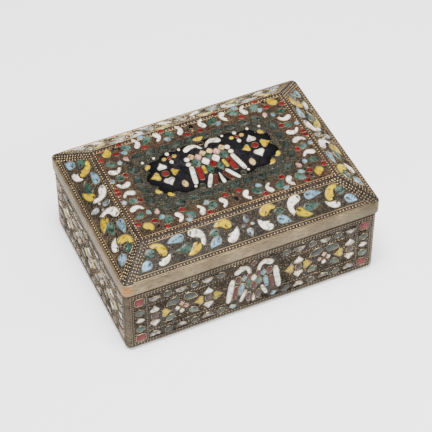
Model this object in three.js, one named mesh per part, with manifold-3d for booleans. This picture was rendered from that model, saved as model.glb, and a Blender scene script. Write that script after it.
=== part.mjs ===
// A cloisonné enamel box: a hollow brass body and a hollow hipped lid that lifts off it.
// Bead-wire borders and enamel cells stand slightly proud of the walls and are one solid with them.
import * as THREE from "three";
import { mergeVertices } from "three/addons/utils/BufferGeometryUtils.js";
import Module from "manifold-3d";

const wasm = await Module();
wasm.setup();

// Driving dimensions, in millimetres.
const lidLength = 130; // outside of the rim band, along X
const lidWidth = 92.5; // outside of the rim band, along Y
const rimBottom = 39.4; // underside of the rim band
const rimHeight = 7; // height of the plain rim band
const roofRise = 9.2; // the flat top panel's height above the rim band
const roofInset = 14.8; // how far each sloping face draws in
const roofLedge = 0.4; // flat edge of the rim band outside the slopes
const lidOverhang = 0.9; // the rim band stands this far outside the body's walls
const bodyWall = 1.8;
const floorThickness = 2.4;
const lidWall = 1.8;
const collarHeight = 4.8; // plain collar inside the rim band
const collarWall = 1;
const fitGap = 0.3; // clearance between the lid and the body
const cornerRadius = 2.6; // vertical corners
const hipRadius = 1.4; // rounding of the roof's hips
const innerRadius = 1; // vertical corners inside
const footEdge = 0.7; // softened lower edge of the body
const wireHeight = 0.5; // bead-wire borders stand this far proud
const cellHeight = 0.4; // enamel cells stand this far proud
const root = 0.6; // how deep a raised piece runs into its wall
const commaSteps = 3; // points along each side of a comma cell

const rimTop = rimBottom + rimHeight;
const panelHeight = rimTop + roofRise;
const bodyLength = lidLength - 2 * lidOverhang;
const bodyWidth = lidWidth - 2 * lidOverhang;
const shoulder = rimBottom - fitGap;
const skirtWall = lidOverhang + bodyWall - collarWall - fitGap;
const roofDrop = (lidWall * Math.hypot(roofInset, roofRise)) / roofInset; // lid wall, measured upright
const roofLength = lidLength - 2 * roofLedge;
const roofWidth = lidWidth - 2 * roofLedge;
const slope = Math.hypot(roofInset, roofRise);
const slopeTilt = Math.atan2(roofRise, roofInset);
const panelLength = roofLength - 2 * roofInset;
const panelWidth = roofWidth - 2 * roofInset;

// A closed three.js geometry as a solid that can be joined and cut.
function solid(geometry) {
  geometry.deleteAttribute("normal");
  geometry.deleteAttribute("uv");
  const merged = mergeVertices(geometry, 1e-4);
  return new wasm.Manifold(
    new wasm.Mesh({
      numProp: 3,
      vertProperties: merged.attributes.position.array,
      triVerts: new Uint32Array(merged.index.array),
    }),
  );
}

// A block with rounded vertical corners. Its top, or its foot, may be drawn in on every side.
function block(length, width, bottom, top, radius, { topInset = 0, footInset = 0 } = {}) {
  const x = length / 2 - radius;
  const y = width / 2 - radius;
  const quarter = Math.PI / 2;
  const outline = new THREE.Shape();
  outline.absarc(x, -y, radius, -quarter, 0);
  outline.absarc(x, y, radius, 0, quarter);
  outline.absarc(-x, y, radius, quarter, 2 * quarter);
  outline.absarc(-x, -y, radius, 2 * quarter, 3 * quarter);
  const curveSegments = radius > innerRadius ? 4 : 2;
  const settings = { depth: top - bottom, bevelEnabled: false, curveSegments };
  const geometry = new THREE.ExtrudeGeometry(outline, settings);
  geometry.translate(0, 0, bottom);
  const points = geometry.getAttribute("position");
  for (let i = 0; i < points.count; i += 1) {
    const inset = points.getZ(i) > (bottom + top) / 2 ? topInset : footInset;
    points.setX(i, points.getX(i) - Math.sign(points.getX(i)) * inset);
    points.setY(i, points.getY(i) - Math.sign(points.getY(i)) * inset);
  }
  return solid(geometry);
}

// The frames of the faces: u runs along a face, v runs up it and the third axis points out of it.
const quarters = [0, 1, 2, 3];

function sideFrame(quarter, distance, height, tilt) {
  const turn = new THREE.Matrix4().makeRotationZ((quarter * Math.PI) / 2);
  const shift = new THREE.Matrix4().makeTranslation(0, -distance, height);
  return turn.multiply(shift).multiply(new THREE.Matrix4().makeRotationX(tilt));
}

const wallFrame = (quarter) =>
  sideFrame(quarter, (quarter % 2 ? bodyLength : bodyWidth) / 2, 0, Math.PI / 2);
const slopeFrame = (quarter) =>
  sideFrame(quarter, (quarter % 2 ? roofLength : roofWidth) / 2, rimTop, slopeTilt);
const panelFrame = new THREE.Matrix4().makeTranslation(0, 0, panelHeight);

// Outlines are lists of [u, v] points on a face.
const mirrored = (outline) => outline.map(([u, v]) => [-u, v]);
const upturned = (outline) => outline.map(([u, v]) => [u, -v]);
const shifted = (outline, du, dv) => outline.map(([u, v]) => [u + du, v + dv]);
const turned = (outline, degrees) => {
  const c = Math.cos((degrees * Math.PI) / 180);
  const s = Math.sin((degrees * Math.PI) / 180);
  return outline.map(([u, v]) => [u * c - v * s, u * s + v * c]);
};
const bothSides = (outlines) => [...outlines, ...outlines.map(mirrored)];

function bar(uLow, uHigh, vLow, vHigh) {
  return [[uLow, vLow], [uHigh, vLow], [uHigh, vHigh], [uLow, vHigh]];
}

function disc(u, v, radius, sides = 6) {
  return Array.from({ length: sides }, (_, i) => {
    const angle = (2 * Math.PI * (i + 0.5)) / sides;
    return [u + radius * Math.cos(angle), v + radius * Math.sin(angle)];
  });
}

function lozenge(u, v, halfWidth, halfHeight) {
  return [[u + halfWidth, v], [u, v + halfHeight], [u - halfWidth, v], [u, v - halfHeight]];
}

// A comma or leaf from its pointed tail to its blunt head, bowed to its left by bend.
function comma([tailU, tailV], [headU, headV], bend, fat) {
  const tail = new THREE.Vector2(tailU, tailV);
  const head = new THREE.Vector2(headU, headV);
  const across = new THREE.Vector2(tailV - headV, headU - tailU).normalize();
  const middle = tail.clone().add(head).multiplyScalar(0.5).addScaledVector(across, 2 * bend);
  const spine = new THREE.QuadraticBezierCurve(tail, middle, head);
  const left = [];
  const right = [];
  for (let i = 1; i < commaSteps; i += 1) {
    const t = Math.sin((Math.PI * i) / (2 * commaSteps));
    const half = (fat / 2) * Math.sin(Math.PI * t ** 1.6) ** 0.6;
    const point = spine.getPoint(t);
    const along = spine.getTangent(t);
    left.push([point.x - half * along.y, point.y + half * along.x]);
    right.unshift([point.x + half * along.y, point.y - half * along.x]);
  }
  return [[tailU, tailV], ...right.reverse(), [headU, headV], ...left.reverse()];
}

// A pointed petal with two round lobes, tip up, standing on [0, 0].
function spade(size) {
  const points = [[0.22, 0], [0.5, 0.36]].map(([u, v]) => [u * size, v * size]);
  return [...points, [0, size], ...mirrored(points).reverse()];
}

// A quatrefoil: a disc with four spade petals.
function quatrefoil(u, v, discRadius, petal, sides = [0, 90, 180, 270]) {
  const petals = sides.map((degrees) => turned(shifted(spade(petal), 0, discRadius + 0.5), degrees));
  return [disc(0, 0, discRadius), ...petals].map((outline) => shifted(outline, u, v));
}

// A small flower: one cell with four petals.
function flower(u, v, reach) {
  const petal = [[0.3 * reach, 0.3 * reach], [0, reach]];
  const outline = [0, 90, 180, 270].flatMap((degrees) => turned(petal, degrees));
  return [shifted(outline, u, v)];
}

// Whorls of the sloping faces, drawn for the left half with the hip on the left.
const hipWhorl = [
  comma([-1.9, 5], [3.8, -1.4], 1.9, 3.4),
  comma([7, -1], [0.3, -3.3], 1.1, 3),
  comma([-5, 0.7], [0.6, 1.2], 0.5, 3.1),
  comma([-8, -4.6], [-2.2, -2.6], 0.5, 3.4),
];
const waveWhorl = [
  comma([-10.2, 3.8], [-1.6, 4.6], 0.3, 3.2),
  comma([-7.4, -0.8], [0.8, 0], -1, 3),
  comma([7.4, -2.4], [2.6, 4.2], -1.9, 3),
  comma([-1.8, -5], [4.4, -1], -0.4, 3.2),
];
const innerWhorl = [
  comma([-1.5, 5], [5, 2.2], 1.2, 3.2),
  comma([-5.2, 1.6], [-0.2, 1.4], 0.3, 3),
  comma([-6.2, -4.8], [-0.4, -1.6], 0.6, 3.2),
  comma([8.6, -0.4], [2.2, -3.2], 1.6, 3),
];
const centreDrops = [comma([0, 5.2], [0, 1.2], 0, 2.6), comma([0, -5.4], [0, -1.3], 0, 2.8)];
const whorlHeight = 9.1; // middle of the whorls, up the slope

function slopeCells(quarter) {
  const whorls = quarter % 2
    ? [[-27.3, hipWhorl], [-11.2, waveWhorl]]
    : [[-46.1, hipWhorl], [-29, waveWhorl], [-14, innerWhorl]];
  const half = whorls.flatMap(([u, whorl]) => whorl.map((outline) => shifted(outline, u, 0)));
  return [...bothSides(half), ...centreDrops].map((outline) => shifted(outline, 0, whorlHeight));
}

// Bead-wire borders of a sloping face: along its foot, its top edge and both hips.
function slopeBorders(quarter) {
  const foot = (quarter % 2 ? roofWidth : roofLength) / 2;
  const top = foot - roofInset;
  const edge = (v) => foot - (v / slope) * roofInset;
  const hipGap = 0.7;
  const hipBand = 3;
  const [low, high] = [1, slope - 0.6];
  const hip = [[-edge(low) + hipGap, low], [-edge(low) + hipGap + hipBand, low],
    [-edge(high) + hipGap + hipBand, high], [-edge(high) + hipGap, high]];
  const footRow = bar(-edge(2.4) + 4.2, edge(2.4) - 4.2, 0.6, 2.4);
  const topRow = bar(-top + 4.6, top - 4.6, slope - 1.7, slope - 0.5);
  return [hip, mirrored(hip), footRow, topRow];
}

// Pairs of the top panel's margin, each a crescent and the leaf beside it.
const panelU = panelLength / 2;
const panelV = panelWidth / 2;
const marginV = 25.4; // middle of the long margins
const marginU = 44.6; // middle of the short margins

function longMarginPair(u, side) {
  return [
    comma([u - 1.4, marginV + 3.5], [u - 1.4, marginV - 3.5], 2.2, 2.4),
    comma([u - 7.6, marginV - 3 * side], [u - 2.4, marginV + 1.8 * side], 0.5 * side, 2.9),
  ];
}

function shortMarginPair(v) {
  return [
    comma([-marginU - 3, v + 1.4], [-marginU + 3.4, v + 1.4], -2.2, 2.4),
    comma([-marginU - 2.9, v + 6.4], [-marginU + 1.6, v + 2.6], 0.4, 2.7),
  ];
}

function marginCells() {
  const long = [longMarginPair(-29, -1), longMarginPair(-17.4, 1), longMarginPair(-6.4, -1)].flat();
  const short = [shortMarginPair(3.9), shortMarginPair(14.2)].flat();
  const corner = comma([-marginU - 1.6, marginV + 3.6], [-marginU - 0.6, marginV - 1.6], 1.6, 2.8);
  const corners = [...long, ...short, corner];
  return [...bothSides(corners), ...bothSides(corners).map(upturned)];
}

// A double-headed bird, wings half open, about 26 wide and 32 high, its middle at [0, 0].
const birdHalf = [
  comma([-0.5, 8.4], [-10.2, 11.4], -4.2, 2.5), // neck and head
  comma([-9.6, 4.6], [-11, 9], 1, 3), // shoulder
  comma([-13.4, -9], [-11, 4], 0.8, 2), // outer wing feather
  comma([-10.4, -5.6], [-8.4, 2.6], 0.3, 2.4),
  comma([-7, -3.6], [-6, 2.6], 0.2, 2),
  comma([-8.8, -14.4], [-4, -5.6], 0.2, 2), // outer tail feather
  comma([-4.4, -13.6], [-2.2, -5.2], 0.1, 2),
];
const birdMiddle = [comma([0, -16.4], [0, -6.4], 0, 1.9), lozenge(0, 2, 4.9, 6.8)];

function bird(u, v, size) {
  return [...bothSides(birdHalf), ...birdMiddle].map((outline) =>
    outline.map(([a, b]) => [u + a * size, v + b * size]),
  );
}

function panelCells() {
  const flowers = [...quatrefoil(-24.7, 1.8, 1.9, 3.9), ...flower(-18.8, 11.7, 3)];
  return [...marginCells(), ...bothSides(flowers), ...bird(0, 2, 1)];
}

function panelBorders() {
  const [outer, inner] = [0.5, 1.8];
  const long = bar(-panelU + outer, panelU - outer, panelV - inner, panelV - outer);
  const short = bar(-panelU + outer, -panelU + inner, -panelV + inner + 0.2, panelV - inner - 0.2);
  return [long, upturned(long), short, mirrored(short)];
}

// Layout of a body wall, measured up from the foot and in from the wall's end.
const columnOuter = [1.9, 3.6]; // double bead column beside the corner
const columnInner = [9.7, 10.6]; // single bead column beside the field
const cornerCells = 6.7; // middle of the corner panel
const fieldMiddle = 19.5; // middle of the tall central field
const [footRow, lowRow, highRow, topRow] = [[2.4, 4.2], [10.2, 11], [28.2, 29], [35.7, 37.8]];

function cornerPanel(end) {
  const u = -end + cornerCells;
  return [
    bar(u - 2.3, u + 2.3, 30.1, 34.7),
    disc(u, 25.1, 2.1),
    comma([u - 2.2, 19.1], [u + 2.2, 19.1], 0.4, 2.8),
    disc(u, 13.7, 2.1),
    bar(u - 2.3, u + 2.3, 5.1, 9.7),
  ];
}

function diagonalLeaves(u) {
  const leaf = comma([u - 8.4, fieldMiddle + 6.6], [u - 1.9, fieldMiddle + 4.6], 0.5, 3.4);
  const lower = shifted(upturned(leaf), 0, 2 * fieldMiddle);
  const pair = [leaf, lower];
  return [...pair, ...pair.map((outline) => shifted(mirrored(outline), 2 * u, 0))];
}

function wallCells(quarter) {
  const end = (quarter % 2 ? bodyWidth : bodyLength) / 2;
  const hasBird = quarter === 0;
  const foils = quarter % 2 ? [-28] : [-23.2];
  const blossoms = quarter % 2 ? [-14.3] : hasBird ? [-36.6] : [-36.6, -11.6];
  const half = [
    ...cornerPanel(end),
    ...foils.flatMap((u) => quatrefoil(u, fieldMiddle, 2.3, 3.6)),
    ...(quarter % 2 ? [] : quatrefoil(-50.2, fieldMiddle, 2.3, 3.6, [0, 180, 270])),
    ...blossoms.flatMap((u) => flower(u, fieldMiddle, 3.6)),
    ...(quarter === 2 ? [] : blossoms.flatMap(diagonalLeaves)),
  ];
  const middle = hasBird
    ? bird(0, 19.6, 0.88)
    : quatrefoil(0, fieldMiddle, 2.3, 3.6);
  return [...bothSides(half), ...middle];
}

function wallBorders(quarter) {
  const end = (quarter % 2 ? bodyWidth : bodyLength) / 2;
  const inside = end - columnInner[1] - 0.3;
  const birdHalfWidth = 13.6;
  const columns = [columnOuter, columnInner].map(([near, far]) =>
    bar(-end + near, -end + far, footRow[1] + 0.3, topRow[0] - 0.3),
  );
  const rows = [footRow, topRow].map(([low, high]) => bar(-end + columnOuter[0], end - columnOuter[0], low, high));
  const field = [lowRow, highRow].flatMap(([low, high]) =>
    quarter === 0
      ? bothSides([bar(-inside, -birdHalfWidth, low, high)])
      : [bar(-inside, inside, low, high)],
  );
  return [...bothSides(columns), ...rows, ...field];
}

// Raises outlines out of a face and joins them to the solid that carries them.
function raise(carrier, frame, outlines, height) {
  return outlines.reduce((joined, outline) => {
    const shape = new THREE.Shape(outline.map(([u, v]) => new THREE.Vector2(u, v)));
    const geometry = new THREE.ExtrudeGeometry(shape, { depth: height + root, bevelEnabled: false });
    geometry.translate(0, 0, -root);
    geometry.applyMatrix4(frame);
    return joined.add(solid(geometry));
  }, carrier);
}

function bodySolid() {
  const hollowLength = bodyLength - 2 * bodyWall;
  const hollowWidth = bodyWidth - 2 * bodyWall;
  const collarTop = shoulder + collarHeight;
  const foot = block(bodyLength, bodyWidth, 0, footEdge, cornerRadius, { footInset: footEdge });
  const walls = block(bodyLength, bodyWidth, footEdge, shoulder, cornerRadius);
  const collar = block(
    hollowLength + 2 * collarWall,
    hollowWidth + 2 * collarWall,
    shoulder - root,
    collarTop,
    innerRadius + collarWall,
  );
  const hollow = block(hollowLength, hollowWidth, floorThickness, collarTop + root, innerRadius);
  let body = foot.add(walls).add(collar).subtract(hollow);
  for (const quarter of quarters) {
    body = raise(body, wallFrame(quarter), wallBorders(quarter), wireHeight);
    body = raise(body, wallFrame(quarter), wallCells(quarter), cellHeight);
  }
  return body;
}

function lidSolid() {
  const hollowLength = lidLength - 2 * skirtWall;
  const hollowWidth = lidWidth - 2 * skirtWall;
  const hollowStep = rimTop - roofDrop;
  const hollowTop = panelHeight - lidWall;
  const topInset = ((hollowTop - hollowStep) * roofInset) / roofRise;
  const rim = block(lidLength, lidWidth, rimBottom, rimTop, cornerRadius);
  const roof = block(roofLength, roofWidth, rimTop, panelHeight, hipRadius, { topInset: roofInset });
  const skirtHollow = block(hollowLength, hollowWidth, rimBottom - root, hollowStep, innerRadius);
  const roofHollow = block(hollowLength, hollowWidth, hollowStep, hollowTop, innerRadius, { topInset });
  let lid = rim.add(roof).subtract(skirtHollow.add(roofHollow));
  for (const quarter of quarters) {
    lid = raise(lid, slopeFrame(quarter), slopeBorders(quarter), wireHeight);
    lid = raise(lid, slopeFrame(quarter), slopeCells(quarter), cellHeight);
  }
  lid = raise(lid, panelFrame, panelBorders(), wireHeight);
  return raise(lid, panelFrame, panelCells(), cellHeight);
}

function meshOf(manifold, name, material) {
  const { vertProperties, triVerts } = manifold.getMesh();
  const geometry = new THREE.BufferGeometry();
  geometry.setAttribute("position", new THREE.BufferAttribute(vertProperties, 3));
  geometry.setIndex(new THREE.BufferAttribute(triVerts, 1));
  geometry.computeVertexNormals();
  const mesh = new THREE.Mesh(geometry, material);
  mesh.name = name;
  return mesh;
}

const enamelledBrass = new THREE.MeshStandardMaterial({ color: 0x5c564e, roughness: 0.45, metalness: 0.4 });
const lidBrass = new THREE.MeshStandardMaterial({ color: 0x8c7c66, roughness: 0.4, metalness: 0.7 });

const box = new THREE.Group();
box.add(meshOf(bodySolid(), "box_body", enamelledBrass));
box.add(meshOf(lidSolid(), "box_lid", lidBrass));
export default box;
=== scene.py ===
import math
import random
import bpy
import numpy as np
from mathutils import Matrix, Vector


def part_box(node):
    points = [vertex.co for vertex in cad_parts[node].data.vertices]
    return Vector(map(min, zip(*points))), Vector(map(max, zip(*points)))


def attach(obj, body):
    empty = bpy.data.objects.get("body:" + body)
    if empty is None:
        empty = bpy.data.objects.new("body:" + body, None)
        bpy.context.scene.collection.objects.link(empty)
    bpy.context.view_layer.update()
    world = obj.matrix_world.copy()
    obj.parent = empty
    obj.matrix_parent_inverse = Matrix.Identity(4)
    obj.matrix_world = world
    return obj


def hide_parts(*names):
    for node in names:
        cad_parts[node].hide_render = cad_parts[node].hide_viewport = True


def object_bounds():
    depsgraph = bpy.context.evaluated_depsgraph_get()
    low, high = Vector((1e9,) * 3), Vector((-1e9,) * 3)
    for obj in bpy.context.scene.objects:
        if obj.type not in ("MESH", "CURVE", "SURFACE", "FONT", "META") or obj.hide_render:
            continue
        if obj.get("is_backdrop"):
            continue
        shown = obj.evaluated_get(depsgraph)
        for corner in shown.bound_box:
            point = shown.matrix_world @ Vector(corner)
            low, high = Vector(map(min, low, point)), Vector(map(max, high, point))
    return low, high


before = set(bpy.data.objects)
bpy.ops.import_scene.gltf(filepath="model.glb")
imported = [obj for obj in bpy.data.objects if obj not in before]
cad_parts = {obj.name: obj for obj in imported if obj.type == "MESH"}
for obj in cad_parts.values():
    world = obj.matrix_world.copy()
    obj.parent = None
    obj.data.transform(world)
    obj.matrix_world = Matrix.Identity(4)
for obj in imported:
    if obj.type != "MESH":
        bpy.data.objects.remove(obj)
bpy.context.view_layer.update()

lidLow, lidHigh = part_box("box_lid")
mm = 0.001
random.seed(7)

# Sizes of the box, in millimetres, read off the frame where it gives them.
box = {
    "lidLength": (lidHigh.x - lidLow.x) / mm,
    "lidWidth": (lidHigh.y - lidLow.y) / mm,
    "rimBottom": lidLow.z / mm,
    "rimHeight": 7.0,
    "roofInset": 14.8,
    "roofLedge": 0.4,
    "overhang": 0.9,
    "bodyWall": 1.8,
    "collarWall": 1.0,
    "collarHeight": 4.8,
    "floor": 2.4,
    "fitGap": 0.3,
    "corner": 2.6,
    "footEdge": 0.7,
    "rimEdge": 0.25,
    "border": 1.9,
    "skirt": 1.4,
    "roofWall": 1.8,
    "wireHeight": 0.5,
    "skin": 0.06,
}
box["rimTop"] = box["rimBottom"] + box["rimHeight"]
box["panelTop"] = lidHigh.z / mm - box["wireHeight"]
box["roofRise"] = box["panelTop"] - box["rimTop"]
box["bodyLength"] = box["lidLength"] - 2 * box["overhang"]
box["bodyWidth"] = box["lidWidth"] - 2 * box["overhang"]
box["shoulder"] = box["rimBottom"] - box["fitGap"]
box["slope"] = math.hypot(box["roofInset"], box["roofRise"])
box["tilt"] = math.atan2(box["roofRise"], box["roofInset"])
box["roofLength"] = box["lidLength"] - 2 * box["roofLedge"]
box["roofWidth"] = box["lidWidth"] - 2 * box["roofLedge"]
box["panelU"] = box["roofLength"] / 2 - box["roofInset"]
box["panelV"] = box["roofWidth"] / 2 - box["roofInset"]


def newMaterial(name):
    material = bpy.data.materials.new(name)
    material.use_nodes = True
    nodes = material.node_tree.nodes
    nodes.clear()
    shader = nodes.new("ShaderNodeBsdfPrincipled")
    shader.inputs["Specular IOR Level"].default_value = 0.3
    output = nodes.new("ShaderNodeOutputMaterial")
    material.node_tree.links.new(shader.outputs["BSDF"], output.inputs["Surface"])
    return material, nodes, material.node_tree.links, shader


def objectNoise(nodes, links, scale, detail=4.0, roughness=0.55, stretch=None):
    coords = nodes.new("ShaderNodeTexCoord")
    noise = nodes.new("ShaderNodeTexNoise")
    noise.inputs["Scale"].default_value = scale
    noise.inputs["Detail"].default_value = detail
    noise.inputs["Roughness"].default_value = roughness
    if stretch:
        mapping = nodes.new("ShaderNodeMapping")
        mapping.inputs["Scale"].default_value = stretch
        links.new(coords.outputs["Object"], mapping.inputs["Vector"])
        links.new(mapping.outputs["Vector"], noise.inputs["Vector"])
    else:
        links.new(coords.outputs["Object"], noise.inputs["Vector"])
    return noise.outputs["Fac"]


def ramp(nodes, links, source, stops):
    node = nodes.new("ShaderNodeValToRGB")
    elements = node.color_ramp.elements
    while len(elements) < len(stops):
        elements.new(0.5)
    for element, (place, color) in zip(elements, stops):
        element.position = place
        element.color = (*color, 1) if len(color) == 3 else color
    links.new(source, node.inputs["Fac"])
    return node.outputs["Color"]


def grey(value):
    return (value, value, value)


def fade(nodes, links, source, start, end, first=0.0, last=1.0):
    return ramp(nodes, links, source, [(start, grey(first)), (end, grey(last))])


def mixColor(nodes, links, factor, first, second, blend="MIX"):
    node = nodes.new("ShaderNodeMix")
    node.data_type = "RGBA"
    node.blend_type = blend
    for socket, value in ((node.inputs[0], factor), (node.inputs[6], first), (node.inputs[7], second)):
        if isinstance(value, (int, float)):
            socket.default_value = value
        elif isinstance(value, tuple):
            socket.default_value = (*value, 1) if len(value) == 3 else value
        else:
            links.new(value, socket)
    return node.outputs[2]


def mathNode(nodes, links, operation, first, second=None):
    node = nodes.new("ShaderNodeMath")
    node.operation = operation
    for socket, value in ((node.inputs[0], first), (node.inputs[1], second)):
        if value is None:
            continue
        if isinstance(value, (int, float)):
            socket.default_value = value
        else:
            links.new(value, socket)
    return node.outputs[0]


def bump(nodes, links, shader, height, strength, distance):
    node = nodes.new("ShaderNodeBump")
    node.inputs["Strength"].default_value = strength
    node.inputs["Distance"].default_value = distance
    links.new(height, node.inputs["Height"])
    links.new(node.outputs["Normal"], shader.inputs["Normal"])


def attribute(nodes, name):
    node = nodes.new("ShaderNodeAttribute")
    node.attribute_name = name
    return node.outputs["Fac"]


def enamelMaterial(name, color, shade, blush=None, roughness=0.2):
    material, nodes, links, shader = newMaterial(name)
    shader.inputs["Specular IOR Level"].default_value = 0.16
    cloud = objectNoise(nodes, links, 420, 5)
    tone = attribute(nodes, "tone")
    base = mixColor(nodes, links, fade(nodes, links, cloud, 0.4, 0.66), color, shade)
    if blush:
        patch = fade(nodes, links, objectNoise(nodes, links, 210, 3), 0.5, 0.62, 0.0, 0.85)
        base = mixColor(nodes, links, patch, base, blush)
    shift = ramp(nodes, links, tone, [(0.0, grey(0.7)), (0.4, grey(0.95)), (1.0, grey(1.0))])
    base = mixColor(nodes, links, 1.0, base, shift, "MULTIPLY")
    # painted shade, with some grime, darkens the enamel against the wire round each cell; wear darkens it in
    # random patches too
    wear = fade(nodes, links, objectNoise(nodes, links, 620, 5, 0.68), 0.5, 0.62, 0.0, 0.85)
    edge = fade(nodes, links, attribute(nodes, "dome"), 0.0, 0.5, 1.0, 0.0)
    wireShadeAndWear = mathNode(nodes, links, "MAXIMUM", edge, wear)
    base = mixColor(nodes, links, wireShadeAndWear, base, tuple(0.12 * c for c in shade))
    # small burst bubbles
    voronoi = nodes.new("ShaderNodeTexVoronoi")
    voronoi.inputs["Scale"].default_value = 900
    coords = nodes.new("ShaderNodeTexCoord")
    links.new(coords.outputs["Object"], voronoi.inputs["Vector"])
    pits = fade(nodes, links, voronoi.outputs["Distance"], 0.12, 0.22)
    base = mixColor(nodes, links, 0.6, base, pits, "MULTIPLY")
    links.new(base, shader.inputs["Base Color"])
    rough = fade(nodes, links, cloud, 0.3, 0.8, roughness, roughness + 0.22)
    links.new(rough, shader.inputs["Roughness"])
    bump(nodes, links, shader, mathNode(nodes, links, "ADD", pits, cloud), 0.4, 0.00012)
    return material


def metalMaterial(name, color, grime, roughness, metallic, scratchScale=0, patch=None, footShadeAndGrime=0.0):
    material, nodes, links, shader = newMaterial(name)
    shader.inputs["Metallic"].default_value = metallic
    broad = objectNoise(nodes, links, 60, 5, 0.6)
    fine = objectNoise(nodes, links, 700, 6, 0.65)
    base = mixColor(nodes, links, fade(nodes, links, broad, 0.32, 0.72), color, grime)
    base = mixColor(nodes, links, fade(nodes, links, fine, 0.42, 0.72, 0.0, 0.5), base, grime)
    # painted shade, with some grime, darkens each bead and wire towards its foot on the ground
    if footShadeAndGrime:
        low = fade(nodes, links, attribute(nodes, "dome"), 0.15, 0.75, footShadeAndGrime, 0.0)
        base = mixColor(nodes, links, low, base, tuple(0.08 * c for c in grime))
    if patch:
        base = warmCorner(nodes, links, base, patch)
    links.new(base, shader.inputs["Base Color"])
    height = fine
    if scratchScale:
        scratch = objectNoise(nodes, links, scratchScale, 3, 0.6, (1.0, 1.0, 18.0))
        height = mathNode(nodes, links, "ADD", fine, scratch)
        streak = fade(nodes, links, scratch, 0.38, 0.6, 0.5, 1.16)
        base = mixColor(nodes, links, 1.0, base, streak, "MULTIPLY")
        links.new(base, shader.inputs["Base Color"])
    rough = fade(nodes, links, height if scratchScale else broad, 0.25, 0.9, roughness, roughness + 0.25)
    links.new(rough, shader.inputs["Roughness"])
    bump(nodes, links, shader, height, 0.3, 0.0001)
    return material


def warmCorner(nodes, links, base, patch):
    coords = nodes.new("ShaderNodeTexCoord")
    distance = nodes.new("ShaderNodeVectorMath")
    distance.operation = "DISTANCE"
    links.new(coords.outputs["Object"], distance.inputs[0])
    distance.inputs[1].default_value = patch["place"]
    wobble = objectNoise(nodes, links, 250, 4)
    reach = mathNode(nodes, links, "ADD", distance.outputs["Value"],
                     mathNode(nodes, links, "MULTIPLY", wobble, patch["wobble"]))
    near = mathNode(nodes, links, "DIVIDE", reach, patch["reach"])
    return mixColor(nodes, links, fade(nodes, links, near, 0.55, 1.0, 0.9, 0.0), base, patch["color"])


def groundMaterial(name, color, deep, wireColor):
    material, nodes, links, shader = newMaterial(name)
    shader.inputs["Specular IOR Level"].default_value = 0.14
    coords = nodes.new("ShaderNodeTexCoord")
    voronoi = nodes.new("ShaderNodeTexVoronoi")
    voronoi.inputs["Scale"].default_value = 900
    voronoi.inputs["Randomness"].default_value = 0.85
    links.new(coords.outputs["Object"], voronoi.inputs["Vector"])
    # rings in each small cell read as tight curls of wire
    turns = mathNode(nodes, links, "MULTIPLY", voronoi.outputs["Distance"], 15.0)
    wires = fade(nodes, links, mathNode(nodes, links, "SINE", turns), 0.35, 0.8)
    broad = objectNoise(nodes, links, 130, 5, 0.6)
    base = mixColor(nodes, links, fade(nodes, links, broad, 0.35, 0.65), deep, color)
    speck = objectNoise(nodes, links, 1100, 3, 0.6)
    worn = mathNode(nodes, links, "MULTIPLY", wires, fade(nodes, links, speck, 0.4, 0.62, 0.15, 1.0))
    base = mixColor(nodes, links, worn, base, wireColor)
    links.new(base, shader.inputs["Base Color"])
    links.new(fade(nodes, links, speck, 0.2, 0.8, 0.32, 0.6), shader.inputs["Roughness"])
    bump(nodes, links, shader, mathNode(nodes, links, "ADD", wires, speck), 0.6, 0.0002)
    return material


enamelColors = {
    "white": ((0.84, 0.80, 0.71), (0.58, 0.53, 0.45), None),
    "yellow": ((0.47, 0.345, 0.003), (0.40, 0.28, 0.002), (0.40, 0.23, 0.002)),
    "blue": ((0.20, 0.33, 0.43), (0.10, 0.18, 0.25), (0.09, 0.21, 0.22)),
    "green": ((0.037, 0.078, 0.056), (0.018, 0.038, 0.03), (0.085, 0.135, 0.115)),
    "dullGreen": ((0.024, 0.032, 0.026), (0.009, 0.012, 0.010), (0.045, 0.062, 0.052)),
    "red": ((0.15, 0.009, 0.010), (0.08, 0.006, 0.006), None),
    "garnet": ((0.085, 0.009, 0.010), (0.045, 0.006, 0.006), None),
    "brick": ((0.07, 0.016, 0.011), (0.04, 0.011, 0.009), None),
    "navy": ((0.007, 0.007, 0.009), (0.004, 0.004, 0.004), (0.014, 0.012, 0.016)),
    "oldWhite": ((0.42, 0.39, 0.35), (0.10, 0.09, 0.085), (0.05, 0.045, 0.04)),
    "cream": ((0.56, 0.40, 0.16), (0.36, 0.25, 0.11), None),
    "pink": ((0.60, 0.33, 0.28), (0.38, 0.17, 0.16), None),
    "brown": ((0.055, 0.026, 0.022), (0.025, 0.013, 0.013), (0.07, 0.04, 0.045)),
    "worn": ((0.14, 0.18, 0.20), (0.02, 0.025, 0.03), (0.40, 0.42, 0.42)),
}
enamels = {name: enamelMaterial(name + "Enamel", *colors) for name, colors in enamelColors.items()}
rimBrass = metalMaterial("rimBrass", (0.27, 0.205, 0.12), (0.11, 0.085, 0.052), 0.36, 0.8, 240,
                         {"place": (-0.064, -0.0455, 0.043), "reach": 0.0062, "wobble": 0.004,
                          "color": (0.36, 0.16, 0.05)})
beadBrass = metalMaterial("beadBrass", (0.62, 0.43, 0.20), (0.22, 0.155, 0.09), 0.28, 0.85, footShadeAndGrime=1.0)
ropeBrass = metalMaterial("ropeBrass", (0.36, 0.27, 0.165), (0.12, 0.09, 0.06), 0.3, 0.8, footShadeAndGrime=1.0)
edgeBrass = metalMaterial("edgeBrass", (0.17, 0.13, 0.085), (0.08, 0.06, 0.045), 0.4, 0.8)
darkWire = metalMaterial("darkWire", (0.26, 0.20, 0.135), (0.03, 0.025, 0.02), 0.3, 0.75)
wireBrass = metalMaterial("wireBrass", (0.50, 0.38, 0.22), (0.09, 0.07, 0.045), 0.3, 0.8)
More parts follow.
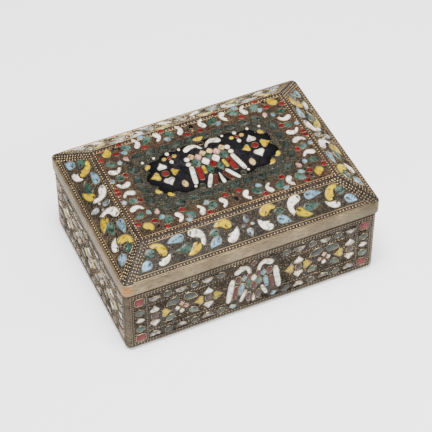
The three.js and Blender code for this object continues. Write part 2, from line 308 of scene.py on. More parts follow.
# the inside brass is darkened as painted shade, so the collar and the rounded shoulder under the rim read as
# the shadow line at the joint
insideBrassShaded = metalMaterial("insideBrassShaded", (0.16, 0.125, 0.085), (0.07, 0.055, 0.04), 0.5, 0.7, 90)
darkGround = groundMaterial("darkGround", (0.011, 0.0095, 0.009), (0.003, 0.003, 0.0035),
                            (0.12, 0.092, 0.06))
brickGround = groundMaterial("brickGround", (0.036, 0.012, 0.009), (0.010, 0.009, 0.007),
                             (0.095, 0.075, 0.05))
ringGround = groundMaterial("ringGround", (0.015, 0.016, 0.013), (0.005, 0.0055, 0.005), (0.085, 0.08, 0.055))
print("materials ready")


# Outlines on a face, in millimetres. Each is a function of how far it is drawn in from its wire.
def strip(tail, head, bend, fat, comma=True, steps=9):
    tail, head = np.array(tail, float), np.array(head, float)

    def outlineAt(shrink):
        along = (head - tail) / np.linalg.norm(head - tail)
        start, end = tail + along * shrink * 1.6, head - along * shrink
        middle = (start + end) / 2 + np.array([-along[1], along[0]]) * 2 * bend
        half = max(fat / 2 - shrink, 0.04)
        length = np.linalg.norm(end - start) + 0.7 * abs(bend)
        crown = 1 - min(half / length, 0.45)
        right, left = [], []
        for i in range(1, steps):
            t = math.sin(math.pi * i / (2 * steps)) if comma else (1 - math.cos(math.pi * i / steps)) / 2
            point = (1 - t) ** 2 * start + 2 * t * (1 - t) * middle + t * t * end
            tangent = 2 * (1 - t) * (middle - start) + 2 * t * (end - middle)
            tangent /= np.linalg.norm(tangent)
            if not comma:
                wide = math.sin(math.pi * t) ** 0.7
            elif t < crown:
                wide = math.sin(math.pi / 2 * t / crown) ** 0.85
            else:
                wide = math.sqrt(max(1 - ((t - crown) / (1 - crown)) ** 2, 0))
            side = np.array([-tangent[1], tangent[0]]) * half * wide
            right.append(point - side)
            left.append(point + side)
        return np.array([start, *right, end, *left[::-1]])

    outlineAt.widest = fat / 2
    return outlineAt


def scaled(points, centre, reach):
    points, centre = np.array(points, float), np.array(centre, float)

    def outlineAt(shrink):
        return centre + (points - centre) * (1 - shrink / reach)

    outlineAt.widest = reach
    return outlineAt


def roundedLoop(power, count, offset=0.5):
    angles = (np.arange(count) + offset) * 2 * math.pi / count
    cosines, sines = np.cos(angles), np.sin(angles)
    reach = (np.abs(cosines) ** power + np.abs(sines) ** power) ** (-1 / power)
    return reach, cosines, sines


def superRound(u, v, halfWidth, halfHeight, power=2.0, count=16):
    reach, cosines, sines = roundedLoop(power, count)
    points = np.stack([u + halfWidth * reach * cosines, v + halfHeight * reach * sines], 1)
    return scaled(points, (u, v), min(halfWidth, halfHeight))


def disc(u, v, radius, count=14):
    return superRound(u, v, radius, radius, 2.0, count)


def square(u, v, halfWidth, halfHeight):
    return superRound(u, v, halfWidth, halfHeight, 6.0)


def lozenge(u, v, halfWidth, halfHeight):
    return superRound(u, v, halfWidth, halfHeight, 1.2)


def spade(u, v, size, degrees, wide=1.0):
    half = [(0.14, 0.0), (0.36, 0.02), (0.5, 0.15), (0.52, 0.33), (0.38, 0.52), (0.2, 0.7)]
    points = np.array([(0, 0.05), *half, (0, 1), *[(-x, y) for x, y in reversed(half)]]) * size * (wide, 1)
    middle = np.array([0, 0.36 * size])
    c, s = math.cos(math.radians(degrees)), math.sin(math.radians(degrees))
    turn = np.array([[c, s], [-s, c]])
    return scaled(points @ turn + (u, v), middle @ turn + (u, v), 0.42 * size)


def bar(start, end, fat, power=3.0, count=16):
    start, end = np.array(start, float), np.array(end, float)
    length = np.linalg.norm(end - start)
    along = (end - start) / length
    reach, cosines, sines = roundedLoop(power, count)

    def outlineAt(shrink):
        forward = (length / 2 - shrink) * reach * cosines
        sideways = max(fat / 2 - shrink, 0.04) * reach * sines
        return (start + end) / 2 + np.outer(forward, along) + np.outer(sideways, (-along[1], along[0]))

    outlineAt.widest = fat / 2
    return outlineAt


def lobed(u, v, halfWidth, halfHeight, lobes, depth, count=120):
    reach, cosines, sines = roundedLoop(3.0, count, 0.0)
    points = np.stack([halfWidth * reach * cosines, halfHeight * reach * sines], 1)
    steps = np.linalg.norm(np.roll(points, -1, 0) - points, axis=1)
    run = np.concatenate([[0], np.cumsum(steps)[:-1]]) / steps.sum()
    points *= (1 - depth * (1 - np.abs(np.sin(math.pi * lobes * run))))[:, None]
    return scaled(points + (u, v), (u, v), halfHeight)


def deselectAll():
    if bpy.context.object and bpy.context.object.mode != "OBJECT":
        bpy.ops.object.mode_set(mode="OBJECT")
    bpy.ops.object.select_all(action="DESELECT")


def editAll():
    bpy.ops.object.mode_set(mode="EDIT")
    bpy.ops.mesh.select_all(action="SELECT")


def joined(pieces):
    deselectAll()
    for piece in pieces:
        piece.select_set(True)
    bpy.context.view_layer.objects.active = pieces[0]
    if len(pieces) > 1:
        bpy.ops.object.join()
    return bpy.context.object


def finishPiece(piece, name, smoothAngle=35):
    piece.name = name
    piece.data.name = name
    deselectAll()
    bpy.context.view_layer.objects.active = piece
    piece.select_set(True)
    bpy.ops.transform.resize(value=(mm, mm, mm), center_override=(0, 0, 0))
    bpy.ops.object.transform_apply(location=True, rotation=True, scale=True)
    bpy.ops.object.shade_smooth_by_angle(angle=math.radians(smoothAngle))
    piece.select_set(False)
    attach(piece, "root")
    piece.data.calc_loop_triangles()
    print(name, len(piece.data.loop_triangles), "triangles")
    return piece


# Heights of an enamel cell above the ground, and the width of its wire.
cell = {
    "wire": 0.21,
    "root": -0.15,
    "wireTop": 0.40,
    "wireEdge": 0.30,
    "enamelEdge": 0.20,
    "enamelTop": 0.42,
    "eye": 0.08,
}


def makeCell(color, outlineAt, lift=0.0):
    wire = min(cell["wire"], 0.32 * outlineAt.widest)
    room = outlineAt.widest - wire
    edge = cell["enamelEdge"]
    top = cell["enamelTop"]
    rings = [
        (0, cell["root"]),
        (0, cell["wireEdge"] + lift),
        (wire * 0.5, cell["wireTop"] + lift),
        (wire, cell["wireEdge"] + lift),
        (wire, edge + lift),
        (wire + 0.25 * room, edge + 0.7 * (top - edge) + lift),
        (wire + 0.6 * room, top + lift),
    ]
    count = len(outlineAt(0))
    deselectAll()
    bpy.ops.mesh.primitive_circle_add(vertices=count, radius=1, fill_type="NGON")
    piece = bpy.context.object
    editAll()
    for _ in rings[1:]:
        bpy.ops.mesh.inset(thickness=0.08, depth=0)
    bpy.ops.object.mode_set(mode="OBJECT")
    spokes = [[] for _ in range(count)]
    for vertex in piece.data.vertices:
        spoke = round(math.atan2(vertex.co.x, vertex.co.y) * count / (2 * math.pi)) % count
        spokes[spoke].append((-vertex.co.xy.length, vertex.index))
    outlines = [outlineAt(shrink) for shrink, _ in rings]
    ringOf = {}
    for spoke, members in enumerate(spokes):
        for ring, (_, index) in enumerate(sorted(members)):
            u, v = outlines[ring][-spoke]
            piece.data.vertices[index].co = (u, v, rings[ring][1])
            ringOf[index] = ring
    piece.data.materials.append(wireBrass)
    piece.data.materials.append(enamels[color])
    for polygon in piece.data.polygons:
        polygon.material_index = int(max(ringOf[i] for i in polygon.vertices) > 4)
    dome = piece.data.attributes.new("dome", "FLOAT", "POINT")
    tone = piece.data.attributes.new("tone", "FLOAT", "POINT")
    shade = random.random()
    for vertex in piece.data.vertices:
        dome.data[vertex.index].value = (0, 0, 0, 0, 0, 0.55, 1)[ringOf[vertex.index]]
        tone.data[vertex.index].value = shade
    return piece


def makeMotif(cells, lift=0.0):
    pieces = [makeCell(color, outlineAt, lift) for color, outlineAt in cells]
    piece = joined(pieces)
    motif = {"mesh": piece.data, "outlines": [outlineAt(-0.35) for _, outlineAt in cells]}
    bpy.data.objects.remove(piece)
    return motif


def turnZ(degrees):
    return Matrix.Rotation(math.radians(degrees), 4, "Z")


def shift(u, v, w=0.0):
    return Matrix.Translation((u, v, w))


mirrorU = Matrix.Diagonal((-1, 1, 1, 1))
mirrorV = Matrix.Diagonal((1, -1, 1, 1))
identity = Matrix.Identity(4)


def halfOf(part, quarter):
    return box[part + ("Width" if quarter % 2 else "Length")] / 2


def wallFrame(quarter):
    return turnZ(90 * quarter) @ shift(0, -halfOf("body", quarter + 1)) @ Matrix.Rotation(math.pi / 2, 4, "X")


def slopeFrame(quarter):
    foot = shift(0, -halfOf("roof", quarter + 1), box["rimTop"])
    return turnZ(90 * quarter) @ foot @ Matrix.Rotation(box["tilt"], 4, "X")


def newFace(matrix):
    return {"matrix": matrix, "copies": [], "taken": []}


def newObject(name, data):
    piece = bpy.data.objects.new(name, data)
    bpy.context.scene.collection.objects.link(piece)
    return piece


def placedMesh(motif, matrix):
    mesh = motif["mesh"].copy()
    mesh.transform(matrix)
    if matrix.determinant() < 0:
        mesh.flip_normals()
    return mesh


def copyMotif(motif, face, place=identity):
    mesh = placedMesh(motif, face["matrix"] @ place)
    values = np.zeros(len(mesh.vertices), np.float32)
    mesh.attributes["tone"].data.foreach_get("value", values)
    mesh.attributes["tone"].data.foreach_set("value", (values + random.random()) % 1.0)
    face["copies"].append(newObject("copy", mesh))
    flatPlace = np.array(place)
    for outline in motif["outlines"]:
        face["taken"].append(outline @ flatPlace[:2, :2].T + flatPlace[:2, 3])


def bothSides(motif, face, place):
    copyMotif(motif, face, place)
    copyMotif(motif, face, mirrorU @ place)


panelFace = newFace(shift(0, 0, box["panelTop"]))
slopeFaces = [newFace(slopeFrame(quarter)) for quarter in range(4)]
wallFaces = [newFace(wallFrame(quarter)) for quarter in range(4)]

def selectFaces(piece, test):
    bpy.ops.object.mode_set(mode="OBJECT")
    mesh = piece.data
    for item in (*mesh.vertices, *mesh.edges, *mesh.polygons):
        item.select = False
    for polygon in mesh.polygons:
        polygon.select = test(polygon)
    bpy.ops.object.mode_set(mode="EDIT")
    bpy.ops.mesh.select_mode(type="FACE")


def selectEdges(piece, test):
    bpy.ops.object.mode_set(mode="OBJECT")
    mesh = piece.data
    for item in (*mesh.vertices, *mesh.polygons, *mesh.edges):
        item.select = False
    for edge in mesh.edges:
        edge.select = test(*(mesh.vertices[i].co for i in edge.vertices))
    bpy.ops.object.mode_set(mode="EDIT")
    bpy.ops.mesh.select_mode(type="EDGE")


def upright(first, second):
    return abs(first.z - second.z) > 1


def cutAcross(piece, reaches, test):
    for axis, reach in enumerate(reaches):
        for side in (-1, 1):
            place, normal = [0, 0, 0], [0, 0, 0]
            place[axis] = side * reach
            normal[axis] = side
            selectFaces(piece, lambda face: test(face, axis))
            bpy.ops.mesh.bisect(plane_co=place, plane_no=normal)


def raiseRoof():
    bpy.ops.mesh.extrude_region_move(TRANSFORM_OT_translate={"value": (0, 0, box["roofRise"])})
    shrink = (box["panelU"] / (box["roofLength"] / 2), box["panelV"] / (box["roofWidth"] / 2), 1)
    bpy.ops.transform.resize(value=shrink, center_override=(0, 0, box["panelTop"]))


def isLongWall(face, axis):
    reach = (box["bodyWidth"], box["bodyLength"])[axis] / 2 - 0.2
    return abs(face.normal.z) < 0.5 and face.area > 3000 and abs(face.center[1 - axis]) > reach


def isPanel(face, axis):
    return face.normal.z > 0.9 and face.center.z > box["panelTop"] - 0.1


# Shells of the body and the lid.
deselectAll()
bpy.ops.mesh.primitive_cube_add(size=1, location=(0, 0, box["shoulder"] / 2),
                                scale=(box["bodyLength"], box["bodyWidth"], box["shoulder"]))
bodyShell = bpy.context.object
bpy.ops.object.transform_apply(location=True, rotation=True, scale=True)
# this rounds the foot and the shoulder too, because the mesh is still in vertex mode here
selectEdges(bodyShell, upright)
bpy.ops.mesh.bevel(offset=box["corner"], segments=4)
selectEdges(bodyShell, lambda first, second: max(first.z, second.z) < 0.01)
bpy.ops.mesh.bevel(offset=box["footEdge"], segments=2)
selectFaces(bodyShell, lambda face: face.normal.z > 0.9)
bpy.ops.mesh.inset(thickness=box["bodyWall"] - box["collarWall"], depth=0)
bpy.ops.mesh.extrude_region_move(TRANSFORM_OT_translate={"value": (0, 0, box["collarHeight"])})
bpy.ops.mesh.inset(thickness=box["collarWall"], depth=0)
bpy.ops.mesh.extrude_region_move(
    TRANSFORM_OT_translate={"value": (0, 0, box["floor"] - box["shoulder"] - box["collarHeight"])})
cutAcross(bodyShell, [halfOf("body", quarter) - box["border"] for quarter in (0, 1)], isLongWall)
bpy.ops.object.mode_set(mode="OBJECT")
for material in (darkGround, edgeBrass, insideBrassShaded):
    bodyShell.data.materials.append(material)
for polygon in bodyShell.data.polygons:
    x, y, z = abs(polygon.center.x), abs(polygon.center.y), polygon.center.z
    onWall = max(x - box["bodyLength"] / 2, y - box["bodyWidth"] / 2) > -0.05
    inField = min(box["bodyLength"] / 2 - x, box["bodyWidth"] / 2 - y) < 0.05 and onWall
    atCorner = x > box["bodyLength"] / 2 - 2.7 and y > box["bodyWidth"] / 2 - 2.7
    if abs(polygon.normal.z) < 0.1 and inField and not atCorner and 0.5 < z < box["shoulder"]:
        polygon.material_index = 0
    # collar, flat faces and the rounded shoulder take the darkened inside brass, painted shade under the rim
    elif z > box["shoulder"] + 0.1 or abs(polygon.normal.z) > 0.9 or not onWall:
        polygon.material_index = 2
    else:
        polygon.material_index = 1
finishPiece(bodyShell, "bodyShell")
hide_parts("box_body")

deselectAll()
bpy.ops.mesh.primitive_cube_add(size=1, location=(0, 0, (box["rimBottom"] + box["rimTop"]) / 2),
                                scale=(box["lidLength"] - 2 * box["skin"], box["lidWidth"] - 2 * box["skin"],
                                       box["rimHeight"]))
lidShell = bpy.context.object
bpy.ops.object.transform_apply(location=True, rotation=True, scale=True)
selectEdges(lidShell, upright)
bpy.ops.mesh.bevel(offset=box["corner"], segments=4)
selectEdges(lidShell, lambda first, second: abs(first.z - second.z) < 0.01)
bpy.ops.mesh.bevel(offset=box["rimEdge"], segments=2)
selectFaces(lidShell, lambda face: face.normal.z > 0.9)
bpy.ops.mesh.inset(thickness=box["roofLedge"], depth=0)
raiseRoof()
panelZones = {"u": 38.9, "v": 20.6}
cutAcross(lidShell, (panelZones["u"], panelZones["v"]), isPanel)
roofDrop = box["roofWall"] * box["slope"] / box["roofInset"]
selectFaces(lidShell, lambda face: face.normal.z < -0.9)
bpy.ops.mesh.inset(thickness=box["skirt"], depth=0)
bpy.ops.mesh.extrude_region_move(TRANSFORM_OT_translate={"value": (0, 0, box["rimHeight"] - roofDrop)})
raiseRoof()
bpy.ops.object.mode_set(mode="OBJECT")
for material in (darkGround, rimBrass, insideBrassShaded, brickGround, ringGround):
    lidShell.data.materials.append(material)
for polygon in lidShell.data.polygons:
    x, y, z = abs(polygon.center.x), abs(polygon.center.y), polygon.center.z
    if polygon.normal.z > 0.9 and z > box["panelTop"] - 0.1:
        polygon.material_index = 4 if x < panelZones["u"] and y < panelZones["v"] else 3
    elif 0.3 < polygon.normal.z < 0.99 and z > box["rimTop"] + 1:
        polygon.material_index = 0
    elif polygon.normal.z < -0.2 or max(x - box["lidLength"] / 2, y - box["lidWidth"] / 2) < -6:
        polygon.material_index = 2
    else:
        polygon.material_index = 1
finishPiece(lidShell, "lidShell")
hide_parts("box_lid")

# Whorls of the sloping faces, drawn for the left half with the hip on the left.
whorls = {
    "hip": [
        ("yellow", strip((-1.6, 5.4), (4.2, -1.6), 2.3, 4.6)),
        ("white", strip((7.6, -0.8), (0.2, -3.5), 1.3, 3.7)),
        ("green", strip((-5.2, 1.0), (0.8, 1.8), 0.4, 4.8)),
        ("blue", strip((-8.6, -5.4), (-2.2, -2.4), 0.6, 4.9)),
    ],
    "wave": [
        ("blue", strip((-10.4, 3.6), (-1.2, 4.0), 0.6, 4.6)),
        ("green", strip((-7.6, -0.6), (1.0, 0.0), -0.9, 4.6)),
        ("white", strip((6.8, -3.0), (0.6, 5.0), -3.2, 4.7)),
        ("yellow", strip((-2.8, -4.8), (4.6, 0.0), -0.8, 4.6)),
    ],
    "inner": [
        ("yellow", strip((-2.2, 4.2), (6.2, 1.6), 2.0, 4.8)),
        ("green", strip((-5.4, 1.0), (0.2, 1.5), 0.3, 3.9)),
        ("blue", strip((-6.8, -5.2), (0.2, -1.8), 0.7, 4.6)),
        ("white", strip((9.2, 1.4), (2.2, -3.4), 1.7, 4.9)),
    ],
    "eyes": {
        "hip": [(3.0, -1.0, 60), (1.4, -3.2, 0), (-1.0, 1.0, 0), (-3.8, -3.1, 30)],
        "wave": [(-3.2, 4.4, 0), (-1.0, -0.4, 0), (2.2, 4.6, 60), (3.6, -1.2, 30)],
        "inner": [(4.4, 2.8, 120), (-1.6, 1.5, 0), (-1.6, -2.4, 40), (3.4, -2.8, 30)],
    },
    "long": [(-46.1, "hip"), (-29.0, "wave"), (-14.0, "inner")],
    "short": [(-27.3, "hip"), (-11.2, "wave")],
    "middle": 9.1,
}
whorlMotifs = {name: makeMotif(whorls[name]) for name in ("hip", "wave", "inner")}
eyeMotif = makeMotif([("navy", strip((-1.4, -0.2), (1.2, 0.1), 0.5, 1.15))], cell["eye"])
centreMotif = makeMotif([
    ("worn", strip((0, 5.6), (0, 1.0), 0, 3.2)),
    ("worn", strip((0, -6.0), (0, -1.1), 0, 3.8)),
    ("worn", strip((-3.6, -0.6), (-1.2, 0.2), 0.3, 1.8)),
    ("worn", strip((3.6, -0.6), (1.2, 0.2), -0.3, 1.8)),
    ("brick", disc(0, 0, 0.8, 8)),
])
for quarter, face in enumerate(slopeFaces):
    for u, name in whorls["short" if quarter % 2 else "long"]:
        place = shift(u, whorls["middle"])
        bothSides(whorlMotifs[name], face, place)
        for eyeU, eyeV, degrees in whorls["eyes"][name]:
            bothSides(eyeMotif, face, place @ shift(eyeU, eyeV) @ turnZ(degrees))
    copyMotif(centreMotif, face, shift(0, whorls["middle"]))
print("slopes placed")

# Margin, ring, cartouche and flowers of the top panel.
panel = {
    "middle": 1.4,
    "marginV": 25.9,
    "marginU": 43.7,
    "ringLong": (17.6, -17.0),
    "ringShort": 35.7,
    "leafPitch": 6.8,
    "cartouche": (0, 2.1, 33.2, 14.9),
    "lift": 0.07,
    "spots": ((-39.2, 23.4), (-47.2, 22.4), (-25.2, 22.2), (-13.9, 28.9), (-3.4, 21.8), (-35.4, 28.8),
              (-40.4, 8.7), (-48.0, 1.2)),
    "dots": ((-30.2, 14.2), (-24.2, 14.9), (-11.2, 15.4), (-13.4, -9.9)),
    "horns": ((-28.9, 9.8, 60), (-30.0, -5.8, 150), (-25.4, -9.6, 150)),
}


def longTrio(side):
    return [
        ("white", strip((-1.6, -3.6 * side), (-2.0, 2.9 * side), -2.0 * side, 3.1)),
        ("green", strip((-8.4, -2.8 * side), (-3.3, 1.8 * side), 0.9 * side, 4.6)),
        ("blue", strip((-9.8, 2.2 * side), (-6.2, 3.4 * side), 0.4 * side, 2.9)),
    ]


longMotifs = {side: makeMotif(longTrio(side)) for side in (1, -1)}
shortMotif = makeMotif([
    ("white", strip((-3.6, 1.9), (3.4, 1.5), -2.1, 3.2)),
    ("green", strip((3.6, 6.0), (-1.5, 3.9), -0.6, 3.9)),
    ("blue", strip((-4.7, 6.2), (-2.9, 3.6), -0.2, 2.9)),
])
cornerMotif = makeMotif([
    ("yellow", strip((2.2, 2.6), (-1.6, -1.6), 1.8, 4.6)),
    ("navy", strip((4.4, 2.4), (5.6, -0.8), 0.3, 1.8)),
])
spotMotif = makeMotif([("red", superRound(0, 0, 2.0, 1.7, 1.4, 12))])
pearMotif = makeMotif([("pink", strip((1.0, -1.8), (-0.6, 1.8), 0.2, 2.8))])
dropMotif = makeMotif([("navy", strip((0, 2.6), (0, -1.8), 0.4, 2.6)), ("yellow", disc(0, -2.9, 0.7, 8))])
for flip in (identity, mirrorV):
    middle = shift(0, panel["middle"]) @ flip
    for u, side in ((-27.4, -1), (-16.6, 1), (-5.3, -1)):
        bothSides(longMotifs[side], panelFace, middle @ shift(u, panel["marginV"]))
    bothSides(shortMotif, panelFace, middle @ shift(-panel["marginU"], 2.7))
    bothSides(shortMotif, panelFace, middle @ shift(-panel["marginU"], 12.6) @ mirrorU)
    bothSides(cornerMotif, panelFace, middle @ shift(-44.2, 26.4))
    bothSides(pearMotif, panelFace, middle @ shift(-36.0, 18.4))
    copyMotif(dropMotif, panelFace, middle @ shift(0, 26.0))
    for u, v in panel["spots"]:
        bothSides(spotMotif, panelFace, middle @ shift(u, v))
leafMotif = makeMotif([("dullGreen", strip((-3.5, -1.2), (2.6, 0.5), 0.8, 4.0))])
leafMotif["mesh"].materials[0] = darkWire
for row, side in zip(panel["ringLong"], (1, -1)):
    for step in range(5):
        place = shift(-3.6 - step * panel["leafPitch"], panel["middle"] + row)
        bothSides(leafMotif, panelFace, place @ (identity if side > 0 else mirrorV))
for v in (-10.2, -3.4, 3.4, 10.2):
    bothSides(leafMotif, panelFace, shift(-panel["ringShort"], panel["middle"] + v) @ turnZ(90))

cartouche = makeMotif([("navy", lobed(*panel["cartouche"], 15, 0.1))], -0.14)
cartouchePiece = newObject("cartouche", placedMesh(cartouche, panelFace["matrix"]))
cartouchePiece.data.materials[0] = darkGround

topFoil = makeMotif([
    ("red", disc(0, 0.4, 1.9)),
    ("white", spade(0, 3.2, 4.9, 0)),
    ("white", spade(0, -2.6, 5.6, 180)),
    ("yellow", spade(-2.8, 0, 5.2, 90)),
    ("yellow", spade(2.8, 0, 4.4, -90)),
], panel["lift"])
topBloom = makeMotif([
    ("red", disc(0, 0, 1.1, 10)),
    ("white", superRound(0, 2.9, 1.2, 1.3, 2, 10)),
    ("white", superRound(0, -2.8, 1.2, 1.4, 2, 10)),
    ("yellow", superRound(-2.6, 0.2, 1.4, 1.2, 2, 10)),
    ("yellow", superRound(2.6, 0.3, 1.4, 1.2, 2, 10)),
], panel["lift"])
ballMotif = makeMotif([("cream", superRound(0, 0, 1.7, 2.4, 2.0, 14))], panel["lift"])
dotMotif = makeMotif([("white", disc(0, 0, 0.9, 9))], panel["lift"])
hornMotif = makeMotif([("yellow", strip((-1.9, 0.5), (1.7, -0.6), 0.8, 2.7))], panel["lift"])
bothSides(topFoil, panelFace, shift(-23.0, 3.0))
bothSides(topBloom, panelFace, shift(-17.4, 12.0))
bothSides(ballMotif, panelFace, shift(-17.2, -6.2))
for u, v in panel["dots"]:
    bothSides(dotMotif, panelFace, shift(u, v))
for u, v, degrees in panel["horns"]:
    bothSides(hornMotif, panelFace, shift(u, v) @ turnZ(degrees))

topBird = {
    "half": [
        ("white", strip((-0.2, 11.4), (-9.6, 12.6), -2.7, 3.2)),
        ("navy", disc(-7.4, 13.6, 0.7, 8)),
        ("white", disc(-10.4, 7.6, 1.6, 12)),
        ("white", disc(-10.9, 4.4, 1.5, 12)),
        ("white", bar((-10.3, 2.8), (-12.7, -9.0), 2.8, 5.0, 20)),
        ("red", bar((-7.6, 1.4), (-8.7, -7.6), 2.9, 5.0, 20)),
        ("yellow", bar((-5.1, 1.2), (-5.6, -4.4), 2.1, 5.0, 20)),
        ("cream", lozenge(-7.9, 8.5, 2.1, 2.2)),
        ("cream", lozenge(-1.8, 8.7, 2.1, 2.2)),
        ("pink", lozenge(-4.8, 7.0, 2.3, 2.5)),
        ("green", superRound(-7.0, 3.9, 2.4, 2.4, 2.6, 14)),
        ("white", lozenge(-2.6, 3.2, 2.4, 3.0)),
        ("green", lozenge(-2.7, -2.4, 2.2, 3.0)),
        ("white", bar((-3.6, -5.2), (-8.0, -13.2), 2.4, 4.0, 20)),
        ("brick", bar((-1.9, -6.4), (-4.7, -13.0), 2.4, 4.0, 20)),
        ("dullGreen", superRound(-10.4, -11.0, 1.6, 1.6, 2.0, 12)),
    ],
    "middle": [
        ("white", strip((0, -5.4), (0, -13.4), 0, 2.2)),
        ("green", lozenge(0, 6.1, 2.0, 2.6)),
        ("red", lozenge(0, 0.3, 2.2, 2.9)),
        ("yellow", strip((-3.0, 19.0), (3.0, 19.0), -0.9, 2.8, False)),
        ("navy", superRound(0, 15.0, 1.6, 1.3, 2.0, 12)),
    ],
}
copyMotif(makeMotif(topBird["middle"], panel["lift"]), panelFace)
bothSides(makeMotif(topBird["half"], panel["lift"]), panelFace, identity)
print("top panel placed")

# Corner panels, friezes, flowers and the bird of the body's walls.
wall = {
    "corner": 6.7,
    "middle": 19.5,
    "friezes": (32.2, 7.1),
    "pitch": 6.68,
    "rows": (10.6, 28.7),
    "edgeRows": (2.7, 4.1, 36.0, 37.3),
    "birdLift": 1.8,
    "birdHalf": 13.6,
}
cornerPanel = makeMotif([
    ("red", square(0, 32.4, 2.6, 2.6)),
    ("dullGreen", disc(0, 25.1, 2.2)),
    ("white", strip((-2.3, 19.2), (2.3, 19.2), 0.4, 3.1, False)),
    ("green", disc(0, 13.7, 2.2)),
    ("red", square(0, 7.4, 2.6, 2.6)),
])
wallFoilCells = [
    ("brown", superRound(0, 0, 1.9, 2.5)),
    ("white", spade(0, 2.8, 4.9, 0)),
    ("white", spade(0, -2.8, 4.9, 180)),
    ("yellow", spade(-2.5, 0, 5.2, 90, 1.12)),
    ("yellow", spade(2.5, 0, 5.2, -90, 1.12)),
]
wallFoil = makeMotif(wallFoilCells)
endFoil = makeMotif([*wallFoilCells[:3], ("yellow", spade(-3.5, 0, 5.2, 90, 1.12))])
blossom = makeMotif([
    ("red", disc(0, 0, 0.9, 10)),
    ("pink", superRound(0, 2.5, 1.4, 1.5, 2, 10)),
    ("white", superRound(0, -2.6, 1.3, 1.6, 2, 10)),
    ("white", superRound(-2.3, 0, 1.3, 1.5, 2, 10)),
    ("pink", superRound(2.3, 0, 1.3, 1.5, 2, 10)),
])
upperLeaf = makeMotif([("dullGreen", strip((-8.0, 3.9), (-1.0, 6.2), 0.7, 4.9))])
lowerLeaf = makeMotif([("green", strip((-8.2, -6.6), (-3.6, -4.0), 0.5, 3.8))])
crescent = makeMotif([("oldWhite", strip((-2.7, 1.1), (2.7, 1.1), -1.6, 3.0, False))])
roundel = makeMotif([("dullGreen", disc(0, 0, 2.0, 14))])
for quarter, face in enumerate(wallFaces):
    end = halfOf("body", quarter)
    bothSides(cornerPanel, face, shift(-end + wall["corner"], 0))
    blossoms = [14.3] if quarter % 2 else [36.6] if quarter == 0 else [36.6, 11.6]
    bothSides(wallFoil, face, shift(-28 if quarter % 2 else -23.2, wall["middle"]))
    if quarter % 2 == 0:
        bothSides(endFoil, face, shift(-50.2, wall["middle"]) @ mirrorU)
    if quarter:
        copyMotif(wallFoil, face, shift(0, wall["middle"]))
    for u in blossoms:
        bothSides(blossom, face, shift(-u, wall["middle"]))
        for flip in (identity, mirrorU):
            if quarter != 2 or u > 20:
                bothSides(upperLeaf, face, shift(-u, wall["middle"]) @ flip)
                bothSides(lowerLeaf, face, shift(-u, wall["middle"]) @ flip)
    for step in range(2 if quarter == 0 else 0, 8):
        u = 3.4 + step * wall["pitch"]
        if u < end - 11.6:
            motif = crescent if step % 2 else roundel
            for row, v in enumerate(wall["friezes"]):
                bothSides(motif, face, shift(-u, v) @ (mirrorV if row else identity))
frontBird = {
    "half": [
        ("white", strip((-1.2, 24.6), (-9.9, 27.0), -3.9, 3.6)),
        ("navy", disc(-7.8, 28.7, 0.75, 9)),
        ("white", bar((-13.2, 8.4), (-10.9, 24.2), 3.3, 4.0, 20)),
        ("garnet", superRound(-8.0, 22.6, 1.5, 2.6, 3, 14)),
        ("garnet", bar((-10.2, 9.4), (-8.7, 18.6), 2.8, 4.0, 20)),
        ("blue", bar((-7.0, 11.4), (-5.8, 19.6), 2.7, 4.0, 20)),
        ("blue", lozenge(-4.9, 22.4, 1.7, 2.6)),
        ("garnet", lozenge(-2.2, 23.2, 1.5, 2.8)),
        ("green", lozenge(-2.7, 18.0, 2.1, 3.1)),
        ("white", bar((-3.9, 13.9), (-6.9, 6.4), 2.4)),
        ("brown", superRound(-2.5, 8.6, 1.5, 3.4, 2.0, 14)),
        ("blue", strip((-13.0, 5.6), (-9.0, 4.4), 0.3, 2.8)),
    ],
    "middle": [
        ("white", lozenge(0, 20.9, 1.9, 2.9)),
        ("garnet", lozenge(0, 15.4, 2.0, 2.9)),
        ("white", strip((0, 10.4), (0, 4.4), 0, 2.0)),
        ("garnet", superRound(0, 30.9, 1.5, 1.7, 1.6, 12)),
    ],
}
copyMotif(makeMotif(frontBird["middle"]), wallFaces[0], shift(0, wall["birdLift"]))
bothSides(makeMotif(frontBird["half"]), wallFaces[0], shift(0, wall["birdLift"]))
print("walls placed")

# Rows of small balls soldered along the borders, with a plain wire on each side of some.
beads = {
    "main": {"pitch": 1.62, "radius": 0.56},
    "fine": {"pitch": 1.3, "radius": 0.38},
    "hip": {"pitch": 1.55, "radius": 0.5},
    "wall": {"pitch": 1.5, "radius": 0.5},
    "height": 0.75,
    "wire": 0.17,
    "slopeRows": (("wire", 0.5, 4.6), ("main", 1.5, 4.6), ("wire", 2.6, 4.6),
                  ("main", 16.3, 4.4), ("wire", 15.5, 4.4)),
    "hipRows": ((1.3, 0.9), (2.9, 1.7), (4.5, 0.8)),
    "hipTop": 16.7,
    "panelRow": 1.1,
    "panelWire": 2,
    "wallColumns": (2.2, 3.4, 10.15),
    "columnEnds": (5.0, 35.2),
    "rowEnd": 11.2,
}


